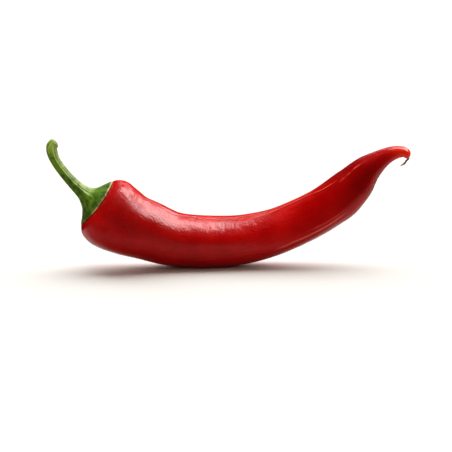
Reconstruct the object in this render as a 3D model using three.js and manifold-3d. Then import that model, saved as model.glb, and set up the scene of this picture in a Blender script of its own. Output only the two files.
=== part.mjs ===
// A fresh red chilli pepper, lying on its belly with both ends raised.
// Millimetres, +Z up. +X runs along the pod to its tip, and the pod's front faces -Y.
// The origin is on the resting surface, under the middle of the pepper's box.
import * as THREE from 'three';
import { mergeVertices } from 'three/addons/utils/BufferGeometryUtils.js';
import Module from 'manifold-3d';

const wasm = await Module();
wasm.setup();

// Middle line of the pod, from the seat of the calyx to the end of the hooked tip.
const POD_LINE = [
  [-49.8, 0.0, 25.2],
  [-44.0, 0.1, 20.8],
  [-37.8, 0.3, 17.0],
  [-31.5, 0.6, 14.5],
  [-20.8, 0.9, 10.7],
  [-2.5, 1.1, 9.4],
  [15.6, 0.8, 12.3],
  [32.5, 0.1, 19.1],
  [40.4, -0.4, 24.1],
  [47.1, -0.9, 30.3],
  [53.6, -1.4, 37.2],
  [62.0, -1.9, 42.6],
  [67.0, -2.1, 43.1],
  [68.7, -2.1, 41.0],
];
const POD_LENGTH = lineThrough(POD_LINE).getLength();

// Half thickness of the pod at a distance along its middle line: a rounded shoulder from the
// seat out, then the long body, then the blunt end of the tip.
const SEAT_RADIUS = 9.0;
const SHOULDER_HALF = 13.2;
const SHOULDER_LENGTH = 7.0;
const POD_GIRTH = [
  { half: SHOULDER_HALF, at: SHOULDER_LENGTH },
  { half: 12.6, at: 11.5 },
  { half: 11.7, at: 16 },
  { half: 11.0, at: 23 },
  { half: 10.3, at: 31 },
  { half: 9.9, at: 45 },
  { half: 9.2, at: 62 },
  { half: 8.5, at: 78 },
  { half: 8.2, at: 91 },
  { half: 7.9, at: 100 },
  { half: 6.9, at: 107.5 },
  { half: 5.2, at: 115 },
  { half: 3.2, at: 123.5 },
  { half: 2.1, at: 130 },
];
const TIP_HALF = 0.8;
const TIP_ROUNDING = 0.5;

// The underside is a little squared, so that two low ridges run along it, and it rests on a flat.
const ROUND = 2;
const BELLY_SQUARENESS = 2.6;
const BELLY_MIDDLE = 46;
const BELLY_REACH = 50;

// The calyx and the stem, along their own middle line from the seat to the cut end. Its first
// stretch is in line with the pod's, so that the calyx sits square on the seat.
const SEAT_GAP = 0.3;
const STEM_LINE = [
  [-49.8, 0.0, 25.2],
  [-54.15, -0.075, 28.5],
  [-58.4, -0.8, 32.6],
  [-62.1, -1.2, 36.9],
  [-65.1, -1.4, 41.2],
  [-66.6, -1.5, 44.7],
  [-66.8, -1.5, 47.2],
  [-65.2, -1.4, 48.8],
];
const STEM_LENGTH = lineThrough(STEM_LINE).getLength();
const CALYX_RADIUS = 9.2;
const CALYX_LIP = 0.7;
const CALYX_TEETH = 5;
const TOOTH_REACH = 0.05;
const KNOB_HALF = 2.0;
const KNOB_LENGTH = 2.5;
const CUT_END_HALF = 1.7;
const CALYX_FLARE = [
  { half: CALYX_RADIUS, at: CALYX_LIP },
  { half: 7.3, at: 1.8 },
  { half: 4.9, at: 3.4 },
  { half: 3.3, at: 5.5 },
  { half: 2.5, at: 8.0 },
  { half: 2.1, at: 11.6 },
  { half: 1.85, at: 16.6 },
  { half: 1.8, at: 21.6 },
  { half: KNOB_HALF, at: STEM_LENGTH - KNOB_LENGTH },
  { half: CUT_END_HALF, at: STEM_LENGTH },
];
const STEM_RIDGES = 5;
const RIDGE_HEIGHT = 0.06;

// The dry thread that hangs back from the tip.
const STYLE_GAP = 0.3;
const STYLE_LINE = [
  [68.5, -2.1, 40.4],
  [67.8, -2.1, 39.4],
  [66.7, -2.3, 38.6],
  [65.4, -2.6, 38.1],
];
const STYLE_LENGTH = lineThrough(STYLE_LINE).getLength();
const STYLE_BASE_HALF = 0.45;
const STYLE_END_HALF = 0.25;

const RED = 0xa80808;
const GREEN = 0x5d7d22;
const DRY_BROWN = 0x5a4526;

// How finely the round shapes are cut: steps along each profile and sides round it.
const SHOULDER_STEPS = 8;
const POD_STEPS = 44;
const STEM_STEPS = 34;
const POD_SIDES = 40;
const STEM_SIDES = 30;
const STYLE_SIDES = 8;
const SAME_POINT = 1e-4;

function lineThrough(points) {
  return new THREE.CatmullRomCurve3(points.map((p) => new THREE.Vector3(...p)));
}

// A turned solid whose axis runs along +Y: its profile holds radius and distance along the axis.
function turned(profile, sides) {
  return new THREE.LatheGeometry(profile, sides);
}

function girthProfile(girth, steps) {
  const outline = girth.map(({ half, at }) => new THREE.Vector2(half, at));
  return new THREE.SplineCurve(outline).getPoints(steps);
}

// Bends a turned solid so that its axis follows a line. The shape function may push a point of the
// skin in or out: it gets the direction round the line (front, up) and the distance along it.
function bent(geometry, line, shape) {
  const length = line.getLength();
  const position = geometry.getAttribute('position');
  const point = new THREE.Vector3();
  for (let i = 0; i < position.count; i += 1) {
    point.fromBufferAttribute(position, i);
    const at = THREE.MathUtils.clamp(point.y / length, 0, 1);
    const tangent = line.getTangentAt(at);
    const front = new THREE.Vector3(0, -1, 0);
    front.addScaledVector(tangent, -front.dot(tangent)).normalize();
    const up = new THREE.Vector3().crossVectors(front, tangent);
    const radius = Math.hypot(point.x, point.z);
    const scale = radius > 0 ? shape(point.x / radius, point.z / radius, point.y) : 1;
    const middle = line.getPointAt(at);
    middle.addScaledVector(front, point.x * scale);
    middle.addScaledVector(up, point.z * scale);
    position.setXYZ(i, middle.x, middle.y, middle.z);
  }
  return geometry;
}

// One closed solid from a geometry whose doubled vertices are merged.
function solidOf(geometry) {
  const plain = geometry.clone();
  plain.deleteAttribute('normal');
  plain.deleteAttribute('uv');
  const merged = mergeVertices(plain, SAME_POINT);
  const vertProperties = new Float32Array(merged.getAttribute('position').array);
  const triVerts = new Uint32Array(merged.index.array);
  return new wasm.Manifold(new wasm.Mesh({ numProp: 3, vertProperties, triVerts }));
}

function geometryOf(solid) {
  const mesh = solid.getMesh();
  const geometry = new THREE.BufferGeometry();
  geometry.setAttribute('position', new THREE.BufferAttribute(mesh.vertProperties, 3));
  geometry.setIndex(new THREE.BufferAttribute(mesh.triVerts, 1));
  geometry.computeVertexNormals();
  return geometry;
}

// Takes away all that lies below the resting surface, which leaves one flat patch.
function restedOnFlat(geometry) {
  const [length, width, depth] = [400, 100, 20];
  const below = new THREE.BoxGeometry(length, width, depth).translate(0, 0, -depth / 2);
  return geometryOf(solidOf(geometry).subtract(solidOf(below)));
}

// How far a superellipse of the given power stands out from the circle inside it.
function squared(front, up, power) {
  return (Math.abs(front) ** power + Math.abs(up) ** power) ** (-1 / power);
}

function podShape(front, up, along) {
  const near = Math.max(0, 1 - ((along - BELLY_MIDDLE) / BELLY_REACH) ** 2);
  const power = up < 0 ? ROUND + (BELLY_SQUARENESS - ROUND) * near : ROUND;
  return squared(front, up, power);
}

function stemShape(front, up, along) {
  const turn = Math.atan2(up, front);
  const lip = Math.max(0, 1 - along / (2 * CALYX_LIP));
  const stalk = THREE.MathUtils.smoothstep(along, CALYX_LIP, CALYX_RADIUS);
  const teeth = (TOOTH_REACH * lip * (1 + Math.cos(CALYX_TEETH * turn))) / 2;
  return 1 + teeth + RIDGE_HEIGHT * stalk * Math.cos(STEM_RIDGES * turn);
}

function paint(color, roughness) {
  return new THREE.MeshStandardMaterial({ color, roughness, metalness: 0 });
}

function fruit() {
  const shoulder = new THREE.EllipseCurve(
    SEAT_RADIUS,
    SHOULDER_LENGTH,
    SHOULDER_HALF - SEAT_RADIUS,
    SHOULDER_LENGTH,
    -Math.PI / 2,
    0,
  );
  const girth = [...POD_GIRTH, { half: TIP_HALF, at: POD_LENGTH - TIP_ROUNDING }];
  const profile = [
    new THREE.Vector2(0, 0),
    ...shoulder.getPoints(SHOULDER_STEPS).slice(0, -1),
    ...girthProfile(girth, POD_STEPS),
    new THREE.Vector2(TIP_HALF / 2, POD_LENGTH),
    new THREE.Vector2(0, POD_LENGTH),
  ];
  const pod = bent(turned(profile, POD_SIDES), lineThrough(POD_LINE), podShape);
  const mesh = new THREE.Mesh(restedOnFlat(pod), paint(RED, 0.25));
  mesh.name = 'fruit';
  return mesh;
}

function stemAndCalyx() {
  const profile = [
    new THREE.Vector2(0, SEAT_GAP),
    new THREE.Vector2(CALYX_RADIUS, SEAT_GAP),
    ...girthProfile(CALYX_FLARE, STEM_STEPS),
    new THREE.Vector2(0, STEM_LENGTH),
  ];
  const stalk = bent(turned(profile, STEM_SIDES), lineThrough(STEM_LINE), stemShape);
  const mesh = new THREE.Mesh(stalk, paint(GREEN, 0.55));
  mesh.name = 'stem_and_calyx';
  return mesh;
}

function driedStyle() {
  const profile = [
    new THREE.Vector2(0, STYLE_GAP),
    new THREE.Vector2(STYLE_BASE_HALF, STYLE_GAP),
    new THREE.Vector2((STYLE_BASE_HALF + STYLE_END_HALF) / 2, STYLE_LENGTH / 2),
    new THREE.Vector2(STYLE_END_HALF, STYLE_LENGTH),
    new THREE.Vector2(0, STYLE_LENGTH),
  ];
  const thread = bent(turned(profile, STYLE_SIDES), lineThrough(STYLE_LINE), () => 1);
  const mesh = new THREE.Mesh(thread, paint(DRY_BROWN, 0.8));
  mesh.name = 'dried_style';
  return mesh;
}

const chilli = new THREE.Group();
chilli.add(fruit(), stemAndCalyx(), driedStyle());

export default chilli;
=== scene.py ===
"""A fresh red chilli pepper on a pale studio floor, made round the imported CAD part.

Everything is in the CAD frame: +Z up, +X along the pod to its tip, the pod's front faces -Y.
Sizes of the pepper are written in millimetres, and Blender's own sizes are metres.
"""

import math

import bpy
import numpy as np
from mathutils import Matrix, Vector, noise


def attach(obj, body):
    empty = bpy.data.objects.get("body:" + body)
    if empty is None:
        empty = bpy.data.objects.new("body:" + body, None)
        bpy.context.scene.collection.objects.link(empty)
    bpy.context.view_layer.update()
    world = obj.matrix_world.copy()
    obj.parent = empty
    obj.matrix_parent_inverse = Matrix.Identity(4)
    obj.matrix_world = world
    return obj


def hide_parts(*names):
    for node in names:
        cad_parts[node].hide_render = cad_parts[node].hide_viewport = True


bl_info = {
    "name": "Red chilli pepper",
    "version": (1, 0, 0),
    "blender": (4, 5, 0),
    "location": "3D View > Sidebar > Pepper",
    "description": "Makes a fresh red chilli pepper with its green stem on a pale studio floor",
    "category": "Add Mesh",
}

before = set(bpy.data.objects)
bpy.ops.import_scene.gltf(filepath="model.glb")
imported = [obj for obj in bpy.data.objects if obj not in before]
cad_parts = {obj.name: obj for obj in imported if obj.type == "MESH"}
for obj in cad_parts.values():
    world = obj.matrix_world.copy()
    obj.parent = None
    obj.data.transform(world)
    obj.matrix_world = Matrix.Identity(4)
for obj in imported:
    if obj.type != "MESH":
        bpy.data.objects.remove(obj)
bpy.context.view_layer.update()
MM = 0.001

# Middle lines, in millimetres: the pod from the calyx to its tip, the stem from the pod up, and
# the dry thread from the tip back.
POD_LINE = [
    (-49.8, 0.0, 25.2),
    (-44.0, 0.1, 20.8),
    (-37.8, 0.3, 17.0),
    (-31.5, 0.6, 14.5),
    (-20.8, 0.9, 10.7),
    (-2.5, 1.1, 9.4),
    (15.6, 0.8, 12.3),
    (32.5, 0.1, 19.1),
    (40.4, -0.4, 24.1),
    (47.1, -0.9, 30.3),
    (53.6, -1.4, 37.2),
    (62.0, -1.9, 42.6),
    (67.0, -2.1, 43.1),
    (68.7, -2.1, 41.0),
]
STEM_LINE = [
    (-49.8, 0.0, 25.2),
    (-54.15, -0.075, 28.5),
    (-58.4, -0.8, 32.6),
    (-62.1, -1.2, 36.9),
    (-65.1, -1.4, 41.2),
    (-66.6, -1.5, 44.7),
    (-66.8, -1.5, 47.4),
    (-65.1, -1.4, 49.1),
]
STYLE_LINE = [
    (68.75, -2.1, 41.1),
    (67.9, -2.15, 39.9),
    (66.75, -2.3, 38.6),
    (65.4, -2.6, 38.1),
]

# Half thickness of the pod at a distance along its line, past the shoulder.
SEAT_RADIUS = 9.0
SHOULDER_HALF = 13.2
SHOULDER_LENGTH = 7.0
POD_GIRTH = [
    (7, 13.2),
    (11.5, 12.6),
    (16, 11.7),
    (23, 11.0),
    (31, 10.3),
    (45, 9.9),
    (62, 9.2),
    (78, 8.5),
    (91, 8.2),
    (100, 7.9),
    (107.5, 6.9),
    (115, 5.2),
    (123.5, 3.2),
    (130, 2.1),
]
TIP_START = 130.0
BELLY_SQUARENESS = 0.6
BELLY_MIDDLE = 46.0
BELLY_REACH = 50.0

# Half thickness of the calyx and stem at a distance from the pod. The calyx stands a hair off the
# pod, its lip is rounded, and the cut end is a low dome.
CALYX_RADIUS = 9.2
CALYX_GAP = 0.12
LIP_MIDDLE = 0.34
LIP_HALF = 0.22
LIP_ROUNDING = 0.25
STEM_GIRTH = [
    (0.7, 9.2),
    (1.8, 7.3),
    (3.4, 4.9),
    (5.5, 3.3),
    (8.0, 2.5),
    (11.6, 2.1),
    (16.6, 1.85),
    (21.6, 1.8),
]
CAP_START = 0.72
CAP_END = 6.0
KNOB_HALF = 2.0
KNOB_LENGTH = 2.5
CUT_END_HALF = 1.9
CUT_END_DOME = 0.9

# The calyx's teeth: their turns round the stem and half width in degrees, and their height in
# millimetres.
TOOTH_TURNS = (-86, -30, 76, 152, -156)
TOOTH_WIDTH = 9.0
TOOTH_HEIGHT = 0.75

# Narrow lengthwise folds in the pod's skin: where each runs, as (distance along, turn round) pairs
# in millimetres and degrees, its half width in degrees, its height in millimetres, how much of it
# is broken up, and how much painted highlight its crest gets. A turn is 0 at the front, 90 at the
# top and -90 at the bottom. A height below 0 is a groove, and a highlight below 0 is painted
# shade.
FOLDS = (
    (((68, -32), (76, -27), (88, -28), (95, -30), (100, -32)), 3.0, 0.36, 0.0, 0.8),
    (((82, -17), (90, -20), (95, -22), (100, -25)), 3.0, 0.12, 0.3, 0.3),
    (((60, 58), (70, 66), (78, 74), (88, 76), (96, 64), (105, 58)), 2.3, 0.22, 0.3, 0.95),
    (((64, 70), (72, 80), (84, 88), (97, 86)), 2.2, 0.2, 0.3, 0.85),
    (((103, 47), (108, 50), (112, 51), (118, 46)), 3.6, 0.24, 0.8, 0.85),
    (
        ((10, 86), (17, 73), (25, 66), (36, 69), (50, 70), (62, 70), (74, 78)),
        2.2,
        -0.12,
        0.3,
        -0.45,
    ),
    (((20, 72), (28, 73), (36, 76), (50, 76), (62, 76), (72, 82)), 1.8, 0.1, 0.2, 0.6),
    (((64, 50), (72, 61), (80, 69), (90, 71), (98, 59), (105, 52)), 1.8, -0.12, 0.2, -0.5),
    (((34, 152), (52, 146), (70, 150), (92, 138)), 3.0, 0.12, 0.3, 0.2),
    (((58, 214), (76, 208), (94, 212), (110, 204)), 3.2, 0.3, 0.0, 0.3),
    (((14, 196), (26, 202), (44, 198)), 3.0, -0.14, 0.2, -0.3),
)

# Broad low lobes of the pod: where each runs, its half width in degrees above and below that
# line, and its height in millimetres. Each fades in over its first stretch and out over its last.
LOBES = (
    (((-6, -44), (2, -44), (12, -42), (26, -38)), 30, 18, 0.9),
    (((58, -33), (78, -33), (82, -33), (102, -32)), 30, 22, 0.9),
    (((7, 76), (17, 76), (20, 74), (36, 70)), 34, 34, 0.5),
    (((6, 16), (18, 14), (46, 12), (62, 10)), 28, 24, 0.5),
    (((92, -75), (102, -75), (108, -75), (122, -75)), 44, 44, 0.7),
    (((72, 88), (84, 88), (112, 88), (124, 88)), 30, 30, 0.4),
    (((-4, 85), (0, 85), (3, 85), (8, 85)), 30, 30, 0.4),
    (((-2, 58), (2, 58), (7, 58), (12, 58)), 26, 22, 0.55),
    (((-4, 168), (0, 168), (8, 166), (20, 160)), 34, 30, 0.7),
    (((30, 212), (52, 214), (84, 216), (108, 214)), 26, 26, 0.5),
    (((18, 88), (30, 88), (48, 88), (60, 88)), 30, 30, 0.22),
    (((0, -88), (3, -88), (8, -88), (14, -88)), 30, 30, 0.5),
    (((30, 12), (44, 12), (56, 12), (70, 10)), 28, 24, 0.4),
)

# Ridges along the stalk, which are low ribs in the cap, and one deeper groove. Turns and widths
# are in degrees, and the depth is a share of the stalk's thickness.
STEM_RIDGES = 5
RIDGE_TURN = 15
GROOVE_TURN = -31
GROOVE_WIDTH = 8
GROOVE_DEPTH = 0.13

# How finely each shape is cut: sides round it, and rings along each stretch of it.
POD_SIDES = 240
SEAT_RINGS = 6
SHOULDER_RINGS = 34
BODY_RINGS = 340
TIP_RINGS = 22
STEM_SIDES = 180
LIP_RINGS = 9
CAP_RINGS = 60
STALK_RINGS = 150
CUT_END_RINGS = 14
STYLE_SIDES = 24
STYLE_RINGS = 60

# Wide lights: the direction that each comes from, and how wide it is in degrees.
LIGHT_BEHIND = ((0.22, 0.7, 0.72), 90)
LIGHT_IN_FRONT = ((0.25, -0.2, 0.92), 60)

# Softboxes, which only the gloss shows: shape, place, direction of the long side, length and
# width in metres, and how bright each one looks. They are aimed at a point in the pepper.
SOFTBOXES = (
    ("Key softbox", "ELLIPSE", (0.43, -0.05, 0.7), (1, -0.5, 0), (1.1, 0.45), 11.5),
    ("Side softbox", "ELLIPSE", (0.53, 0.27, 0.5), (1, -0.8, 0), (0.38, 0.28), 9.0),
    ("Back softbox", "RECTANGLE", (0.2, 0.6, 0.7), (1, 0, 0), (0.65, 0.2), 0.4),
    ("Back strip", "RECTANGLE", (0.2, 0.5, 0.45), (1, 0, 0), (0.6, 0.05), 8.0),
)
SOFTBOX_AIM = (0, 0, 0.02)

# The floor, and the strip of it that the gloss shows, in metres.
FLOOR_REACH = 3.0
GLOSS_FRONT = -0.034
GLOSS_BACK = 0.06

# The camera's lens and sensor in millimetres, and the point it looks at in metres.
LENS = 188.6
SENSOR_WIDTH = 36.0
LOOK_AT = (-0.00095, 0.0, 0.01554)


class PodSettings(bpy.types.PropertyGroup):
    """Looks of the red pod."""

    skin: bpy.props.FloatVectorProperty(
        name="Skin",
        description="Colour of the lit red skin",
        subtype="COLOR",
        default=(0.55, 0.0012, 0.0008),
        min=0,
        max=1,
    )
    deep: bpy.props.FloatVectorProperty(
        name="Deep skin",
        description="Colour of the darker blotches in the skin",
        subtype="COLOR",
        default=(0.43, 0.0004, 0.0004),
        min=0,
        max=1,
    )
    # Painted shade colour, mixed in before the tip and on the front of the shoulder
    painted_shade: bpy.props.FloatVectorProperty(
        name="Painted shade",
        description="Colour of the painted shade, before the tip and on the front of the shoulder",
        subtype="COLOR",
        default=(0.2, 0.0003, 0.0003),
        min=0,
        max=1,
    )
    tip: bpy.props.FloatVectorProperty(
        name="Tip",
        description="Colour that the skin turns towards at the tip",
        subtype="COLOR",
        default=(0.85, 0.022, 0.001),
        min=0,
        max=1,
    )
    # The crest colour is a painted highlight and the line colour a painted shade, both on the
    # narrow folds
    crest: bpy.props.FloatVectorProperty(
        name="Crests",
        description="Colour of the painted highlight on the crests of the narrow folds",
        subtype="COLOR",
        default=(0.9, 0.11, 0.07),
        min=0,
        max=1,
    )
    line: bpy.props.FloatVectorProperty(
        name="Painted shade lines",
        description="Colour of the painted shade lines beside the narrow folds",
        subtype="COLOR",
        default=(0.05, 0.0002, 0.0002),
        min=0,
        max=1,
    )
    creases: bpy.props.FloatProperty(
        name="Creases",
        description="Height of the fine lengthwise creases",
        subtype="DISTANCE",
        default=0.12 * MM,
        min=0,
        max=MM,
    )
    swell: bpy.props.FloatProperty(
        name="Swell",
        description="Height of the low waves in the skin",
        subtype="DISTANCE",
        default=0.14 * MM,
        min=0,
        max=2 * MM,
    )


class StemSettings(bpy.types.PropertyGroup):
    """Looks of the green calyx and stem."""

    calyx: bpy.props.FloatVectorProperty(
        name="Calyx",
        description="Colour of the cap",
        subtype="COLOR",
        default=(0.085, 0.19, 0.012),
        min=0,
        max=1,
    )
    stem: bpy.props.FloatVectorProperty(
        name="Stem",
        description="Colour of the stalk",
        subtype="COLOR",
        default=(0.135, 0.28, 0.011),
        min=0,
        max=1,
    )
    # Painted light colour for the lit side and one ridge of the stalk
    painted_light: bpy.props.FloatVectorProperty(
        name="Painted light",
        description="Colour of the painted light along the lit side and one ridge of the stalk",
        subtype="COLOR",
        default=(0.5, 0.62, 0.2),
        min=0,
        max=1,
    )
    rim: bpy.props.FloatVectorProperty(
        name="Rim",
        description="Colour of the dry edge of the cap",
        subtype="COLOR",
        default=(0.6, 0.4, 0.14),
        min=0,
        max=1,
    )
    ridges: bpy.props.FloatProperty(
        name="Ridges",
        description="Height of the ridges along the stalk, as a share of its thickness",
        subtype="FACTOR",
        default=0.09,
        min=0,
        max=0.3,
    )


class StyleSettings(bpy.types.PropertyGroup):
    """Looks of the dry thread at the tip."""

    dry: bpy.props.FloatVectorProperty(
        name="Dry tissue",
        description="Colour of the dry thread",
        subtype="COLOR",
        default=(0.2, 0.11, 0.04),
        min=0,
        max=1,
    )
    base_half: bpy.props.FloatProperty(
        name="Base",
        description="Half thickness of the thread where it leaves the pod",
        subtype="DISTANCE",
        default=0.5 * MM,
        min=0.1 * MM,
        max=2 * MM,
    )


class StageSettings(bpy.types.PropertyGroup):
    """The floor, the lights and the camera."""

    floor: bpy.props.FloatVectorProperty(
        name="Floor",
        description="Colour of the floor",
        subtype="COLOR",
        default=(0.885, 0.9, 0.875),
        min=0,
        max=1,
    )
    bounce: bpy.props.FloatVectorProperty(
        name="Bounce",
        description="Colour of the light that the floor throws back onto the pepper",
        subtype="COLOR",
        default=(0.54, 0.5, 0.48),
        min=0,
        max=1,
    )
    sky: bpy.props.FloatProperty(
        name="Soft light",
        description="Strength of the wide light from above and behind",
        default=4.8,
        min=0,
        max=20,
    )
    front: bpy.props.FloatProperty(
        name="Front light",
        description="Strength of the wide light on the side of the pepper that faces the camera",
        default=2.3,
        min=0,
        max=20,
    )
    azimuth: bpy.props.FloatProperty(
        name="Azimuth",
        description="Direction that the camera looks from",
        subtype="ANGLE",
        default=math.radians(-6),
    )
    elevation: bpy.props.FloatProperty(
        name="Elevation",
        description="Height of the camera above the horizon",
        subtype="ANGLE",
        default=math.radians(10),
    )
    distance: bpy.props.FloatProperty(
        name="Distance",
        description="Distance from the camera to the pepper",
        subtype="DISTANCE",
        default=0.9,
        min=0.2,
        max=5,
    )


def hermite(start, end, leave, arrive, share):
    """A cubic from start to end that leaves and arrives with the given slopes."""
    square, cube = share**2, share**3
    return (
        start * (2 * cube - 3 * square + 1)
        + end * (3 * square - 2 * cube)
        + leave * (cube - 2 * square + share)
        + arrive * (cube - square)
    )


class SmoothLine:
    """A smooth line through points, read by the distance along it."""

    def __init__(self, points, steps=60):
        knots = np.array(points, float)
        first, last = 2 * knots[0] - knots[1], 2 * knots[-1] - knots[-2]
        knots = np.vstack([first, knots, last])
        share = np.linspace(0, 1, steps, endpoint=False)[:, None]
        stretches = []
        for a, b, c, d in zip(knots, knots[1:], knots[2:], knots[3:]):
            before, here, after = (
                np.linalg.norm(end - start) ** 0.5 for start, end in ((a, b), (b, c), (c, d))
            )
            leave = (b - a) / before - (c - a) / (before + here) + (c - b) / here
            arrive = (c - b) / here - (d - b) / (here + after) + (d - c) / after
            stretches.append(hermite(b, c, leave * here, arrive * here, share))
        self.points = np.vstack([*stretches, knots[-2:-1]])
        steps_between = np.linalg.norm(np.diff(self.points, axis=0), axis=1)
        self.reach = np.concatenate([[0], np.cumsum(steps_between)])
        self.length = self.reach[-1]
        slopes = np.gradient(self.points, self.reach, axis=0)
        self.slopes = slopes / np.linalg.norm(slopes, axis=1)[:, None]

    def read(self, table, along):
        """The values of a table, such as the points, at distances along the line."""
        return np.stack([np.interp(along, self.reach, table[:, k]) for k in range(3)], axis=-1)

    def frames(self, along):
        """The middle, front and up of the line at each distance along it."""
        middle = self.read(self.points, along)
        tangent = self.read(self.slopes, along)
        tangent /= np.linalg.norm(tangent, axis=-1)[..., None]
        front = np.array([0.0, -1.0, 0.0]) + tangent[..., 1:2] * tangent
        front /= np.linalg.norm(front, axis=-1)[..., None]
        return middle, front, np.cross(front, tangent)


def smooth_value(table, at):
    """Reads a smooth curve through (place, value) pairs."""
    places, values = np.array(table, float).T
    slopes = np.gradient(values, places)
    k = np.clip(np.searchsorted(places, at, side="right") - 1, 0, len(places) - 2)
    width = places[k + 1] - places[k]
    share = (at - places[k]) / width
    return hermite(values[k], values[k + 1], slopes[k] * width, slopes[k + 1] * width, share)


def step_up(value, low, high):
    """0 below low, 1 above high, and a smooth rise between."""
    share = np.clip((value - low) / (high - low), 0, 1)
    return share * share * (3 - 2 * share)


def bump_at(value, middle, width):
    """1 at the middle, falling smoothly to nothing past the width on either side."""
    return np.exp(-(((value - middle) / width) ** 2))


def turn_from(turn, degrees):
    """The turn away from a direction round the line, in degrees between -180 and 180."""
    return (np.degrees(turn) - degrees + 180) % 360 - 180


def drift(points, across):
    """Smooth noise between about -1 and 1, with blotches of a size in millimetres."""
    flat = (points / across).reshape(-1, 3)
    return np.array([noise.noise(Vector(p)) for p in flat]).reshape(points.shape[:-1])


def crest(along, turn, path, width, broken):
    """How near the skin is to the crest of a narrow lengthwise fold, and to the groove by it."""
    places, turns = np.array(path, float).T
    fade = step_up(along, places[0], places[0] + 6) * step_up(-along, -places[-1], 6 - places[-1])
    gaps = np.array([noise.noise(Vector((p / 2.6, turns[0], 0))) for p in along.ravel()])
    fade = fade * (1 - broken * (1 - step_up(gaps.reshape(along.shape), -0.15, 0.15)))
    away = turn_from(turn, np.interp(along, places, turns))
    return fade * bump_at(away, 0, width), fade * bump_at(away, -1.8 * width, width)


def lobe(along, turn, path, above, below, height):
    """A broad low swelling along the pod that fades in and out over its first and last places."""
    places, turns = np.array(path, float).T
    fade = step_up(along, places[0], places[1]) * step_up(-along, -places[-1], -places[-2])
    away = turn_from(turn, np.interp(along, places, turns))
    return height * fade * bump_at(away, 0, np.where(away > 0, above, below))


def lengthwise(along, turn, half, length, width):
    """Noise drawn out along the pod: streaks of a length and width in millimetres."""
    points = np.stack(
        np.broadcast_arrays(
            along / length, np.cos(turn) * half / width, np.sin(turn) * half / width
        ),
        axis=-1,
    )
    return drift(points, 1.0)


def skin_mesh(name, rings, v_along):
    """A closed mesh from rings of points, whose first and last rings are single points."""
    count, sides = rings.shape[0], rings.shape[1]
    middle = rings[1:-1].reshape(-1, 3)
    points = np.vstack([rings[0, :1], middle, rings[-1, :1]]) * MM
    last = len(points) - 1
    ring = np.arange(count - 2)[:, None] * sides + 1
    side = np.arange(sides)[None, :]
    after = (side + 1) % sides
    low, high = ring[:-1], ring[1:]
    quads = np.stack([low + side, low + after, high + after, high + side], axis=-1).reshape(-1, 4)
    start = [(0, 1 + (j + 1) % sides, 1 + j) for j in range(sides)]
    final = int(ring[-1, 0])
    end = [(last, final + j, final + (j + 1) % sides) for j in range(sides)]
    mesh = bpy.data.meshes.new(name)
    mesh.from_pydata(points.tolist(), [], quads.tolist() + start + end)
    u = np.arange(sides) / sides
    u_next = u + 1 / sides
    v_low, v_high = v_along[1:-2, None], v_along[2:-1, None]
    corners = ((u, v_low), (u_next, v_low), (u_next, v_high), (u, v_high))
    quad_uv = np.stack(
        [np.stack(np.broadcast_arrays(*corner), -1) for corner in corners], axis=2
    ).reshape(-1, 2)
    start_uv = [
        corner
        for near, far in zip(u, u_next)
        for corner in ((near, v_along[0]), (far, v_along[1]), (near, v_along[1]))
    ]
    end_uv = [
        corner
        for near, far in zip(u, u_next)
        for corner in ((near, v_along[-1]), (near, v_along[-2]), (far, v_along[-2]))
    ]
    layer = mesh.uv_layers.new(name="Along")
    layer.data.foreach_set("uv", np.vstack([quad_uv, start_uv, end_uv]).astype(np.float32).ravel())
    mesh.shade_smooth()
    mesh.validate()
    return mesh


def add_piece(mesh, material, node):
    """Puts a finished mesh in the scene in place of its CAD node."""
    piece = bpy.data.objects.new(mesh.name, mesh)
    bpy.context.scene.collection.objects.link(piece)
    mesh.materials.append(material)
    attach(piece, "root")
    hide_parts(node)


def pod_profile():
    """Distance along the pod and half thickness of each ring, from the seat to the tip."""
    length = SmoothLine(POD_LINE).length
    seat = [(0.0, r) for r in np.linspace(0, SEAT_RADIUS, SEAT_RINGS)[:-1]]
    reach = SHOULDER_HALF - SEAT_RADIUS
    shoulder = [
        (SHOULDER_LENGTH * (1 + math.sin(angle)), SEAT_RADIUS + reach * math.cos(angle))
        for angle in np.linspace(-math.pi / 2, 0, SHOULDER_RINGS)[:-1]
    ]
    body_at = np.linspace(SHOULDER_LENGTH, TIP_START, BODY_RINGS)[:-1]
    body = list(zip(body_at, smooth_value(POD_GIRTH, body_at)))
    tip_half = POD_GIRTH[-1][1]
    tip = [
        (TIP_START + (length - TIP_START) * math.sin(angle), tip_half * math.cos(angle))
        for angle in np.linspace(0, math.pi / 2, TIP_RINGS)
    ]
    return np.array(seat + shoulder + body + tip)


def pod_rings(settings):
    """The pod's skin as rings of points, in millimetres."""
    profile = pod_profile()
    along, half = profile[:, :1], profile[:, 1:]
    turn = np.linspace(0, 2 * math.pi, POD_SIDES, endpoint=False)[None, :] - math.pi / 2
    front_share, up_share = np.cos(turn), np.sin(turn)
    near = np.clip(1 - ((along - BELLY_MIDDLE) / BELLY_REACH) ** 2, 0, 1)
    power = 2 + BELLY_SQUARENESS * near * step_up(-up_share, -0.15, 0.15)
    square = (np.abs(front_share) ** power + np.abs(up_share) ** power) ** (-1 / power)
    radius = half * square + pod_relief(along, turn, half, settings)
    middle, front, up = SmoothLine(POD_LINE).frames(profile[:, 0])
    out = front[:, None] * front_share[..., None] + up[:, None] * up_share[..., None]
    rings = middle[:, None] + out * radius[..., None]

    # The belly is flat where it rests on the floor
    rings[..., 2] = np.maximum(rings[..., 2], 0)
    return rings, profile, painted_crest_light(along, turn)


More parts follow.
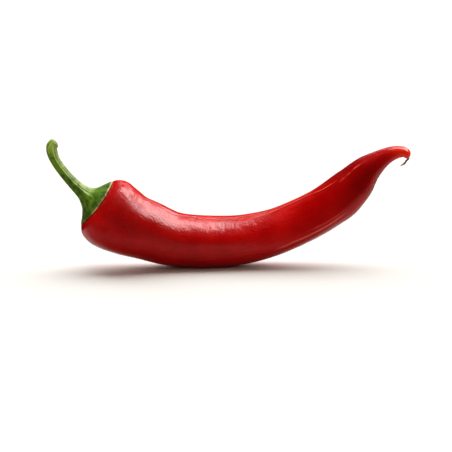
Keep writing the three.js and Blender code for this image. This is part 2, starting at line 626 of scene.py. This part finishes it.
def pod_relief(along, turn, half, settings):
    """How far the skin stands out from the plain shape, in millimetres."""
    # Low waves in the skin, long and short, that fade out at the seat and the tip
    fade = step_up(half, 2.0, 8.0) * step_up(along, 0.2, 3.0)
    swell = settings.swell / MM
    relief = swell * lengthwise(along, turn, half, 26, 13) * fade
    relief = relief + 0.3 * swell * lengthwise(along, turn, half, 9, 6) * fade

    # Small uneven spots, most of them on the upper front of the belly
    belly = step_up(along, 28, 40) * step_up(-along, -72, -58)
    spotted = 0.12 + bump_at(turn_from(turn, 40), 0, 24) * belly
    relief = relief + 0.065 * spotted * lengthwise(along, turn, half, 1.8, 2.3) * fade

    # Each narrow fold has a shallow groove along one side
    for path, width, height, broken, _ in FOLDS:
        raised, groove = crest(along, turn, path, width, broken)
        relief = relief + height * (raised - 0.25 * groove)
    for path, above, below, height in LOBES:
        relief = relief + lobe(along, turn, path, above, below, height)

    # The front of the shoulder runs into the pod with less of a waist than its top
    front_side = bump_at(turn_from(turn, 48), 0, 30)
    relief = relief + 0.4 * front_side * bump_at(along, 15, 8)

    # A low bump on the belly, under the calyx
    bulge = bump_at(turn_from(turn, -80), 0, 30) * bump_at(along, 14.0, 5.0)
    relief = relief + 0.25 * bulge

    # Fine creases along the upper side of the last third, faint elsewhere
    where = 0.12 + bump_at(turn_from(turn, 62), 0, 38) * step_up(along, 64, 92)
    fine = lengthwise(along, turn, half, 11, 0.9)
    wide = lengthwise(along, turn, half, 16, 2.2)
    return relief + settings.creases / MM * where * fade * (0.6 * fine + wide)


def painted_crest_light(along, turn):
    """Painted highlight on the crests of the narrow folds, up to 1, or painted shade, down to -1.
    """
    pale = np.zeros(np.broadcast(along, turn).shape)
    for path, width, _, broken, paleness in FOLDS:
        raised, _ = crest(along, turn, path, 0.7 * width, broken)
        pale = pale + paleness * raised
    return pale


def build_group(name, inputs, outputs):
    """An empty shader node group with named inputs and outputs, and its two end nodes."""
    group = bpy.data.node_groups.new(name, "ShaderNodeTree")
    for label, kind, value in inputs:
        socket = group.interface.new_socket(name=label, in_out="INPUT", socket_type=kind)
        if value is not None:
            socket.default_value = value
    for label, kind in outputs:
        group.interface.new_socket(name=label, in_out="OUTPUT", socket_type=kind)
    return group, group.nodes.new("NodeGroupInput"), group.nodes.new("NodeGroupOutput")


def add_node(tree, kind, inputs=None, **settings):
    """A node with its settings, and its inputs set to values or joined to other sockets."""
    node = tree.nodes.new(kind)
    for label, value in settings.items():
        setattr(node, label, value)
    for label, value in (inputs or {}).items():
        if isinstance(value, bpy.types.NodeSocket):
            tree.links.new(value, node.inputs[label])
        else:
            node.inputs[label].default_value = value
    return node


def ramp(tree, factor, stops):
    """A colour ramp with (place, colour) stops. Returns its colour output."""
    node = add_node(tree, "ShaderNodeValToRGB", {"Fac": factor})
    elements = node.color_ramp.elements
    while len(elements) < len(stops):
        elements.new(0.5)
    for element, (place, colour) in zip(elements, sorted(stops, key=lambda stop: stop[0])):
        element.position = place
        element.color = colour if len(colour) == 4 else (*colour, 1)
    return node.outputs["Color"]


def mask(tree, factor, stops):
    """A ramp of greys with (place, value) stops."""
    return ramp(tree, factor, [(place, (value, value, value)) for place, value in stops])


def math_node(tree, operation, first, second, clamp=False):
    """A sum or product of two values, kept between 0 and 1 if clamp is set."""
    node = add_node(tree, "ShaderNodeMath", {0: first, 1: second}, operation=operation)
    node.use_clamp = clamp
    return node.outputs[0]


def mix_colour(tree, factor, first, second, blend="MIX"):
    """The first colour where the factor is 0, blended with the second where it is 1."""
    node = add_node(tree, "ShaderNodeMix", data_type="RGBA", blend_type=blend)
    sockets = {"Factor_Float": factor, "A_Color": first, "B_Color": second}
    by_id = {socket.identifier: socket for socket in node.inputs}
    for label, value in sockets.items():
        if isinstance(value, bpy.types.NodeSocket):
            tree.links.new(value, by_id[label])
        else:
            by_id[label].default_value = value
    return next(s for s in node.outputs if s.identifier == "Result_Color")


def mottle_group():
    """Blotches and fine grain of living tissue: a blotch mask, a grain mask and a height."""
    found = bpy.data.node_groups.get("Tissue mottle")
    if found:
        return found
    group, given, made = build_group(
        "Tissue mottle",
        [
            ("Vector", "NodeSocketVector", None),
            ("Blotches", "NodeSocketFloat", 120.0),
            ("Grain", "NodeSocketFloat", 1500.0),
            ("Grain share", "NodeSocketFloat", 0.5),
        ],
        [
            ("Blotch", "NodeSocketFloat"),
            ("Grain", "NodeSocketFloat"),
            ("Height", "NodeSocketFloat"),
        ],
    )
    blotch = add_node(
        group,
        "ShaderNodeTexNoise",
        {"Vector": given.outputs["Vector"], "Scale": given.outputs["Blotches"], "Detail": 3.0},
    )
    grain = add_node(
        group,
        "ShaderNodeTexNoise",
        {"Vector": given.outputs["Vector"], "Scale": given.outputs["Grain"], "Detail": 2.0},
    )
    share = math_node(group, "MULTIPLY", grain.outputs["Fac"], given.outputs["Grain share"])
    height = math_node(group, "ADD", blotch.outputs["Fac"], share)
    group.links.new(blotch.outputs["Fac"], made.inputs["Blotch"])
    group.links.new(grain.outputs["Fac"], made.inputs["Grain"])
    group.links.new(height, made.inputs["Height"])
    return group


def start_material(name):
    """A material with a Principled shader, and its texture coordinates."""
    material = bpy.data.materials.new(name)
    material.use_nodes = True
    tree = material.node_tree
    shader = tree.nodes["Principled BSDF"]
    coordinates = tree.nodes.new("ShaderNodeTexCoord")
    return material, tree, shader, coordinates


def place_mottle(tree, vector, blotches, grain, share):
    """The mottle in a material, with its own blotch and grain scales and share of grain."""
    node = tree.nodes.new("ShaderNodeGroup")
    node.node_tree = mottle_group()
    tree.links.new(vector, node.inputs["Vector"])
    node.inputs["Blotches"].default_value = blotches
    node.inputs["Grain"].default_value = grain
    node.inputs["Grain share"].default_value = share
    return node


def bump(tree, shader, height, distance):
    """Raises the surface by the height mask, by up to a distance in metres."""
    node = add_node(tree, "ShaderNodeBump", {"Height": height, "Distance": distance})
    tree.links.new(node.outputs["Normal"], shader.inputs["Normal"])


def rough_from(tree, mottled, low, high):
    """Roughness from low to high over the middle range of a mottle's mask."""
    limits = {"From Min": 0.3, "From Max": 0.7, "To Min": low, "To Max": high}
    node = add_node(tree, "ShaderNodeMapRange", {"Value": mottled, **limits})
    return node.outputs["Result"]


def red_skin(settings):
    """Smooth waxy red skin: blotched, painted shade on the shoulder's front and before the tip,
    warm at the tip, painted highlight and shade lines on the folds, and a fine pebbled surface."""
    material, tree, shader, coordinates = start_material("Red skin")
    mottle = place_mottle(tree, coordinates.outputs["Object"], 90.0, 1300.0, 0.8)
    uv = add_node(tree, "ShaderNodeSeparateXYZ", {"Vector": coordinates.outputs["UV"]})
    around, along = uv.outputs["X"], uv.outputs["Y"]
    skin_stops = [(0.36, settings.deep[:]), (0.6, settings.skin[:])]
    blotch = ramp(tree, mottle.outputs["Blotch"], skin_stops)
    tipward = mask(tree, along, [(0.93, 0), (0.985, 1)])
    warm = mix_colour(tree, tipward, blotch, (*settings.tip, 1))

    # Painted shade: the skin is mixed towards a dark red before the tip, most on its front, and on
    # the front of the shoulder
    before_tip = mask(
        tree, along, [(0.5, 0), (0.72, 0.35), (0.81, 1), (0.86, 1), (0.92, 0.6), (0.96, 0)]
    )
    shaded_side = mask(
        tree,
        around,
        [
            (0, 0.3),
            (0.12, 0.4),
            (0.2, 1),
            (0.27, 1),
            (0.38, 0.6),
            (0.5, 0.8),
            (0.75, 0.7),
            (1, 0.3),
        ],
    )
    shoulder = mask(tree, along, [(0, 0.5), (0.12, 0.45), (0.25, 0.3), (0.38, 0)])
    front = mask(tree, around, [(0.2, 0), (0.25, 1), (0.33, 1), (0.4, 0)])
    shade_before_tip = math_node(tree, "MULTIPLY", before_tip, shaded_side)
    shade_on_shoulder = math_node(tree, "MULTIPLY", shoulder, front)
    painted_shade_share = math_node(tree, "ADD", shade_before_tip, shade_on_shoulder, clamp=True)
    colour = mix_colour(tree, painted_shade_share, warm, (*settings.painted_shade, 1))

    # Painted highlight on the crests of the narrow folds, and painted shade lines along the
    # grooves
    crests = add_node(tree, "ShaderNodeAttribute", attribute_name="Painted crest light")
    crest_highlighted = mix_colour(tree, crests.outputs["Fac"], colour, (*settings.crest, 1))
    crease_shade = math_node(tree, "MULTIPLY", crests.outputs["Fac"], -1.0)
    crease_shaded = mix_colour(tree, crease_shade, crest_highlighted, (*settings.line, 1))
    tree.links.new(crease_shaded, shader.inputs["Base Color"])

    rough = rough_from(tree, mottle.outputs["Blotch"], 0.105, 0.195)
    bloom = mask(tree, along, [(0.08, 0.08), (0.14, 0.055), (0.5, 0.055), (0.75, 0)])
    roughness = math_node(tree, "ADD", rough, bloom)
    tree.links.new(roughness, shader.inputs["Roughness"])
    shader.inputs["IOR"].default_value = 1.36
    bump(tree, shader, mottle.outputs["Height"], 0.18 * MM)
    return material


def green_tissue(settings, length):
    """Green stalk and cap: darker cap, dry pale rim, painted light on the stalk, brown cut end."""
    material, tree, shader, coordinates = start_material("Green tissue")
    mottle = place_mottle(tree, coordinates.outputs["Object"], 480.0, 2600.0, 0.5)
    uv = add_node(tree, "ShaderNodeSeparateXYZ", {"Vector": coordinates.outputs["UV"]})
    turned, along = uv.outputs["X"], uv.outputs["Y"]
    calyx, stem, rim = settings.calyx[:], settings.stem[:], settings.rim[:]
    brown, worn = (0.3, 0.12, 0.03), (0.8, 0.6, 0.28)
    green_stops = [
        (0.9, calyx),
        (4.5, stem),
        (length - 10.0, stem),
        (length - 5.5, (0.2, 0.38, 0.03)),
        (length - 1.8, (0.4, 0.6, 0.1)),
        (length - 0.5, (0.4, 0.58, 0.1)),
        (length - 0.1, brown),
    ]
    green = ramp(tree, along, [(place / length, colour) for place, colour in green_stops])

    # Painted light along the stalk: pale over its lit upper side and in a painted highlight on one
    # ridge, with the dark groove between them left unpainted
    stripes = mask(
        tree,
        turned,
        [
            (0.1, 0),
            (0.17, 0.8),
            (0.3, 1),
            (0.39, 0.6),
            (0.41, 0),
            (0.425, 0),
            (0.445, 0.9),
            (0.46, 0.9),
            (0.475, 0),
        ],
    )
    stalk = mask(tree, along, [(0.1, 0), (0.2, 0.8), (0.9, 1), (0.97, 0.5)])
    light = math_node(tree, "MULTIPLY", stripes, stalk)
    lit_stalk_colour = mix_colour(tree, light, green, (*settings.painted_light, 1))

    # The dry rim of the cap, pale at the top and browner below
    rim_stops = [(0.2, rim), (0.44, rim), (0.47, brown), (0.5, worn), (0.56, worn), (0.6, brown)]
    edge = ramp(tree, turned, rim_stops)
    at_edge = mask(tree, along, [(0.55 / length, 1), (0.75 / length, 0)])
    colour = mix_colour(tree, at_edge, lit_stalk_colour, edge)

    # Dark veins and specks
    stretched = add_node(
        tree, "ShaderNodeMapping", {"Vector": coordinates.outputs["UV"], "Scale": (34, 5, 1)}
    )
    veins = place_mottle(tree, stretched.outputs["Vector"], 1.0, 2.6, 0.5)
    both = math_node(tree, "MULTIPLY", mottle.outputs["Blotch"], veins.outputs["Height"])
    dark = ramp(tree, both, [(0.26, (0.22, 0.3, 0.32)), (0.45, (1, 1, 1))])
    veined = mix_colour(tree, 0.85, colour, dark, "MULTIPLY")
    tree.links.new(veined, shader.inputs["Base Color"])

    roughness = rough_from(tree, mottle.outputs["Grain"], 0.38, 0.55)
    tree.links.new(roughness, shader.inputs["Roughness"])
    shader.inputs["Specular IOR Level"].default_value = 0.15
    bump(tree, shader, veins.outputs["Height"], 0.2 * MM)
    return material


def dry_tissue(settings):
    """Withered brown tissue with darker patches."""
    material, tree, shader, coordinates = start_material("Dry tissue")
    mottle = place_mottle(tree, coordinates.outputs["Object"], 900.0, 4000.0, 0.6)
    dry = tuple(settings.dry)
    dark = tuple(0.35 * c for c in dry)
    light = tuple(min(1, 2.6 * c) for c in dry)
    colour = ramp(tree, mottle.outputs["Blotch"], [(0.35, dark), (0.5, dry), (0.68, light)])
    tree.links.new(colour, shader.inputs["Base Color"])
    shader.inputs["Roughness"].default_value = 0.75
    bump(tree, shader, mottle.outputs["Height"], 0.1 * MM)
    return material


class MakePod(bpy.types.Operator):
    """Makes the red pod, from the seat of the calyx to the hooked tip."""

    bl_idname = "pepper.make_pod"
    bl_label = "Make pod"

    def execute(self, context):
        settings = context.scene.pepper_pod
        rings, profile, pale = pod_rings(settings)
        mesh = skin_mesh("fruit_skin", rings, profile[:, 0] / profile[-1, 0])
        share = mesh.attributes.new("Painted crest light", "FLOAT", "POINT")
        per_point = np.concatenate([[0], pale[1:-1].ravel(), [0]])
        share.data.foreach_set("value", per_point.astype(np.float32))
        add_piece(mesh, red_skin(settings), "fruit")
        return {"FINISHED"}


def stem_profile(length):
    """Distance from the pod and half thickness of each ring, from the calyx to the cut end."""
    under = [(CALYX_GAP, r) for r in np.linspace(0, CALYX_RADIUS - 2 * LIP_ROUNDING, SEAT_RINGS)]
    lip = [
        (
            LIP_MIDDLE + LIP_HALF * math.sin(angle),
            CALYX_RADIUS - LIP_ROUNDING + LIP_ROUNDING * math.cos(angle),
        )
        for angle in np.linspace(-math.pi / 2, math.pi / 6, LIP_RINGS)
    ]
    dome_start = length - CUT_END_DOME
    girth = STEM_GIRTH + [(length - KNOB_LENGTH, KNOB_HALF), (dome_start, CUT_END_HALF)]
    cap_at = np.linspace(CAP_START, CAP_END, CAP_RINGS)
    stalk_at = np.linspace(CAP_END, dome_start, STALK_RINGS)[1:]
    at = np.concatenate([cap_at, stalk_at])
    stalk = list(zip(at, smooth_value(girth, at)))
    end = [
        (dome_start + CUT_END_DOME * math.sin(angle), CUT_END_HALF * math.cos(angle))
        for angle in np.linspace(0, math.pi / 2, CUT_END_RINGS)[1:]
    ]
    return np.array(under + lip + stalk + end)


def stem_rings(settings):
    """The calyx and stem as rings of points, in millimetres."""
    line = SmoothLine(STEM_LINE)
    profile = stem_profile(line.length)
    along, half = profile[:, :1], profile[:, 1:]
    turn = np.linspace(-math.pi, math.pi, STEM_SIDES, endpoint=False)[None, :] + 0 * along

    # Teeth and an uneven edge round the rim of the cap
    near_rim = step_up(half, 6.5, 9.0)
    teeth = sum(
        np.clip(1 - np.abs(turn_from(turn, place)) / TOOTH_WIDTH, 0, 1) ** 1.3
        for place in TOOTH_TURNS
    )
    radius = half + TOOTH_HEIGHT * teeth * near_rim**2
    radius = radius + 0.18 * near_rim * np.cos(STEM_RIDGES * turn)
    edge = np.stack([0 * turn, 6 * np.cos(turn), 6 * np.sin(turn)], axis=-1)
    radius = radius + 0.22 * near_rim * drift(edge, 1.0)

    # Ridges and a groove along the stalk, and low ribs in the cap
    stalk = step_up(along, 2.0, 9.0)
    ridge = np.cos(STEM_RIDGES * (turn + math.radians(RIDGE_TURN)))
    raised = np.sign(ridge) * np.abs(ridge) ** 1.4
    groove = bump_at(turn_from(turn, GROOVE_TURN), 0, GROOVE_WIDTH)
    radius = radius * (1 + stalk * (settings.ridges * raised - GROOVE_DEPTH * groove))
    cap = step_up(along, 0.8, 2.5) * (1 - stalk)
    radius = radius + 0.12 * cap * np.cos(STEM_RIDGES * turn)
    points = np.stack([along / 6 + 0 * turn, np.cos(turn), np.sin(turn)], axis=-1)
    radius = radius * (1 + 0.02 * drift(points, 0.35) * step_up(along, 1.0, 3.0))

    # The cap's edge follows the rounded shoulder of the pod
    middle, front, up = line.frames(profile[:, 0])
    out = front[:, None] * np.cos(turn)[..., None] + up[:, None] * np.sin(turn)[..., None]
    tangent = np.cross(up, front)
    reach = SHOULDER_HALF - SEAT_RADIUS
    over = np.clip(radius - SEAT_RADIUS, 0, reach) / reach
    droop = SHOULDER_LENGTH * (1 - np.sqrt(1 - over**2))
    rings = middle[:, None] + out * radius[..., None] + tangent[:, None] * -droop[..., None]
    return rings, profile


class MakeStem(bpy.types.Operator):
    """Makes the green cap and stalk."""

    bl_idname = "pepper.make_stem"
    bl_label = "Make stem"

    def execute(self, context):
        settings = context.scene.pepper_stem
        rings, profile = stem_rings(settings)
        length = profile[:, 0].max()
        mesh = skin_mesh("stem_and_calyx_skin", rings, profile[:, 0] / length)
        add_piece(mesh, green_tissue(settings, length), "stem_and_calyx")
        return {"FINISHED"}


class MakeStyle(bpy.types.Operator):
    """Makes the dry thread that hangs back from the tip."""

    bl_idname = "pepper.make_style"
    bl_label = "Make style"

    def execute(self, context):
        settings = context.scene.pepper_style
        line = SmoothLine(STYLE_LINE)
        at = np.linspace(0, line.length, STYLE_RINGS)
        share = at / line.length
        half = settings.base_half / MM * (1 - 0.5 * share) * np.sqrt(np.clip(1 - share**8, 0, 1))
        half[0] = 0
        turn = np.linspace(0, 2 * math.pi, STYLE_SIDES, endpoint=False)[None, :]
        points = np.stack(np.broadcast_arrays(at[:, None], np.cos(turn), np.sin(turn)), axis=-1)
        radius = half[:, None] * (1 + 0.35 * drift(points, 0.7))
        middle, front, up = line.frames(at)
        out = front[:, None] * np.cos(turn)[..., None] + up[:, None] * np.sin(turn)[..., None]
        rings = middle[:, None] + out * radius[..., None]
        mesh = skin_mesh("dried_style_skin", rings, share)
        add_piece(mesh, dry_tissue(settings), "dried_style")
        return {"FINISHED"}


def direction(azimuth, elevation):
    """The unit vector that points from the pepper to a place round it."""
    level = math.cos(elevation)
    return Vector((math.sin(azimuth) * level, -math.cos(azimuth) * level, math.sin(elevation)))


def add_softbox(name, shape, place, long_way, size, radiance):
    """A flat light aimed at the pepper, its first side along long_way."""
    light = bpy.data.lights.new(name, "AREA")
    light.shape = shape
    light.size, light.size_y = size
    light.energy = radiance * math.pi * size[0] * size[1]
    lamp = bpy.data.objects.new(name, light)
    bpy.context.scene.collection.objects.link(lamp)
    lamp.visible_diffuse = False
    place = Vector(place)
    back = (place - Vector(SOFTBOX_AIM)).normalized()
    across = Vector(long_way)
    across = (across - across.dot(back) * back).normalized()
    up = back.cross(across)
    turned = Matrix((across, up, back)).transposed().to_4x4()
    lamp.matrix_world = Matrix.Translation(place) @ turned


def add_wide_light(name, toward, angle, strength, receivers=None):
    """A wide soft light from far away that the gloss doesn't show, for all or for some objects."""
    light = bpy.data.lights.new(name, "SUN")
    light.energy = strength
    light.angle = math.radians(angle)
    lamp = bpy.data.objects.new(name, light)
    bpy.context.scene.collection.objects.link(lamp)
    lamp.rotation_mode = "QUATERNION"
    lamp.rotation_quaternion = Vector(toward).to_track_quat("Z", "Y")
    lamp.visible_glossy = False
    if receivers:
        lit = bpy.data.collections.new(name)
        for piece in receivers:
            lit.objects.link(piece)
        lamp.light_linking.receiver_collection = lit


def studio_world():
    """White behind the floor, dim warm fill, and dark surroundings for the gloss to show."""
    world = bpy.data.worlds.new("Studio")
    bpy.context.scene.world = world
    world.use_nodes = True
    tree = world.node_tree
    tree.nodes.clear()
    path = tree.nodes.new("ShaderNodeLightPath")
    white = add_node(tree, "ShaderNodeBackground", {"Color": (1, 1, 1, 1), "Strength": 1.1})
    fill = add_node(tree, "ShaderNodeBackground", {"Color": (1, 0.74, 0.6, 1), "Strength": 0.25})
    dark = add_node(tree, "ShaderNodeBackground", {"Color": (1, 1, 1, 1), "Strength": 0.0})
    seen = add_node(tree, "ShaderNodeMixShader", {"Fac": path.outputs["Is Glossy Ray"]})
    tree.links.new(fill.outputs[0], seen.inputs[1])
    tree.links.new(dark.outputs[0], seen.inputs[2])
    final = add_node(tree, "ShaderNodeMixShader", {"Fac": path.outputs["Is Camera Ray"]})
    tree.links.new(seen.outputs[0], final.inputs[1])
    tree.links.new(white.outputs[0], final.inputs[2])
    output = tree.nodes.new("ShaderNodeOutputWorld")
    tree.links.new(final.outputs[0], output.inputs["Surface"])


def floor_material(settings):
    """Plain pale floor that throws back less light than it shows."""
    material, tree, shader, _ = start_material("Pale floor")
    shader.inputs["Base Color"].default_value = (*settings.floor, 1)
    shader.inputs["Roughness"].default_value = 0.9
    shader.inputs["Specular IOR Level"].default_value = 0.0
    bounce = add_node(tree, "ShaderNodeBsdfDiffuse", {"Color": (*settings.bounce, 1)})
    path = tree.nodes.new("ShaderNodeLightPath")
    seen = add_node(tree, "ShaderNodeMixShader", {"Fac": path.outputs["Is Camera Ray"]})
    tree.links.new(bounce.outputs[0], seen.inputs[1])
    tree.links.new(shader.outputs[0], seen.inputs[2])
    tree.links.new(seen.outputs[0], tree.nodes["Material Output"].inputs["Surface"])
    return material


def add_floor(settings):
    """A large plain floor in three strips, of which the gloss shows only the one by the pepper."""
    material = floor_material(settings)
    reach = FLOOR_REACH
    strips = (
        ("floor_front", -reach, GLOSS_FRONT, False),
        ("floor_middle", GLOSS_FRONT, GLOSS_BACK, True),
        ("floor_back", GLOSS_BACK, reach, False),
    )
    for name, front, back, shown in strips:
        mesh = bpy.data.meshes.new(name)
        corners = [(-reach, front, 0), (reach, front, 0), (reach, back, 0), (-reach, back, 0)]
        mesh.from_pydata(corners, [], [(0, 1, 2, 3)])
        mesh.materials.append(material)
        floor = bpy.data.objects.new(name, mesh)
        bpy.context.scene.collection.objects.link(floor)
        floor.visible_glossy = shown


def add_camera(settings):
    """The camera that the photograph was taken from."""
    data = bpy.data.cameras.new("Camera")
    data.sensor_width = SENSOR_WIDTH
    data.lens = LENS
    camera = bpy.data.objects.new("Camera", data)
    bpy.context.scene.collection.objects.link(camera)
    back = direction(settings.azimuth, settings.elevation)
    camera.location = Vector(LOOK_AT) + settings.distance * back
    camera.rotation_mode = "QUATERNION"
    camera.rotation_quaternion = (-back).to_track_quat("-Z", "Y")
    bpy.context.scene.camera = camera


class MakeStage(bpy.types.Operator):
    """Makes the floor, the lights, the surroundings and the camera."""

    bl_idname = "pepper.make_stage"
    bl_label = "Make stage"

    def execute(self, context):
        settings = context.scene.pepper_stage
        context.scene.view_settings.view_transform = "Standard"
        pieces = [piece for piece in context.scene.objects if piece.type == "MESH"]
        add_camera(settings)
        add_floor(settings)
        studio_world()
        add_wide_light("Wide light behind", *LIGHT_BEHIND, settings.sky)
        add_wide_light("Wide light in front", *LIGHT_IN_FRONT, settings.front, pieces)
        for softbox in SOFTBOXES:
            add_softbox(*softbox)
        return {"FINISHED"}


class PepperPanel(bpy.types.Panel):
    """Sizes, colours and the makers of each piece."""

    bl_idname = "VIEW3D_PT_pepper"
    bl_label = "Red chilli pepper"
    bl_space_type = "VIEW_3D"
    bl_region_type = "UI"
    bl_category = "Pepper"

    def draw(self, context):
        for settings_name, operator in MAKERS:
            box = self.layout.box()
            settings = getattr(context.scene, settings_name)
            for label in type(settings).__annotations__:
                box.prop(settings, label)
            box.operator(operator)


SETTINGS = (
    ("pepper_pod", PodSettings),
    ("pepper_stem", StemSettings),
    ("pepper_style", StyleSettings),
    ("pepper_stage", StageSettings),
)
MAKERS = (
    ("pepper_pod", "pepper.make_pod"),
    ("pepper_stem", "pepper.make_stem"),
    ("pepper_style", "pepper.make_style"),
    ("pepper_stage", "pepper.make_stage"),
)
OPERATORS = (MakePod, MakeStem, MakeStyle, MakeStage)


def register():
    for name, group in SETTINGS:
        bpy.utils.register_class(group)
        setattr(bpy.types.Scene, name, bpy.props.PointerProperty(type=group))
    for operator in OPERATORS:
        bpy.utils.register_class(operator)
    bpy.utils.register_class(PepperPanel)


def unregister():
    bpy.utils.unregister_class(PepperPanel)
    for operator in reversed(OPERATORS):
        bpy.utils.unregister_class(operator)
    for name, group in reversed(SETTINGS):
        delattr(bpy.types.Scene, name)
        bpy.utils.unregister_class(group)


def main():
    """Makes every piece and the stage."""
    register()
    bpy.ops.pepper.make_pod()
    bpy.ops.pepper.make_stem()
    bpy.ops.pepper.make_style()
    bpy.ops.pepper.make_stage()
    bpy.context.view_layer.update()


if __name__ == "__main__":
    main()
